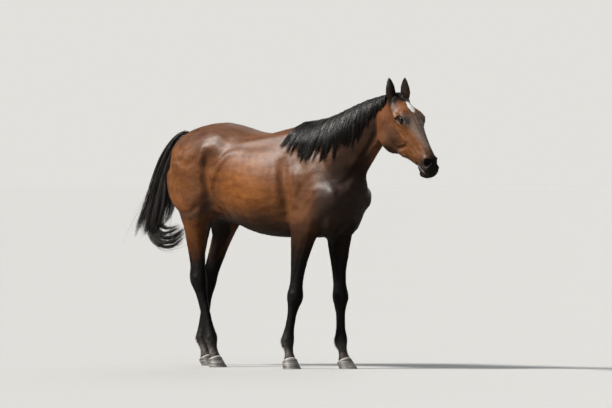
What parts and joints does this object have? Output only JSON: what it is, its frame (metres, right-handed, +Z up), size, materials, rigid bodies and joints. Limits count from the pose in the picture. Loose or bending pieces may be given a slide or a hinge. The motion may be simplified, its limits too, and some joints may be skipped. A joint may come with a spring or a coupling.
{
  "type": "horse",
  "caption": "Life-size still model of a standing bay horse with a black mane, tail and legs, for display on a floor.",
  "frame": {"origin": "on the ground under the middle of the box round the whole horse", "axes": "+X towards the horse's front, +Y to its left, +Z up"},
  "size_m": [2.6156, 0.5934, 1.889],
  "materials": {
    "bay_coat": "short glossy coat, reddish brown, black on the lower legs",
    "long_hair": "long straight black hair",
    "eye": "wet, dark brown",
    "hoof": "dull grey horn, paler at the coronet"
  },
  "bodies": {
    "root": {"head": "bay_coat", "neck": "bay_coat", "trunk": "bay_coat", "leg_fore_right": "bay_coat", "leg_fore_left": "bay_coat", "leg_hind_right": "bay_coat", "leg_hind_left": "bay_coat", "ear_right": "bay_coat", "ear_left": "bay_coat", "mane": "long_hair", "forelock": "long_hair", "tail": "long_hair", "eye_right": "eye", "eye_left": "eye", "hoof_fore_right": "hoof", "hoof_fore_left": "hoof", "hoof_hind_right": "hoof", "hoof_hind_left": "hoof"}
  },
  "joints": []
}
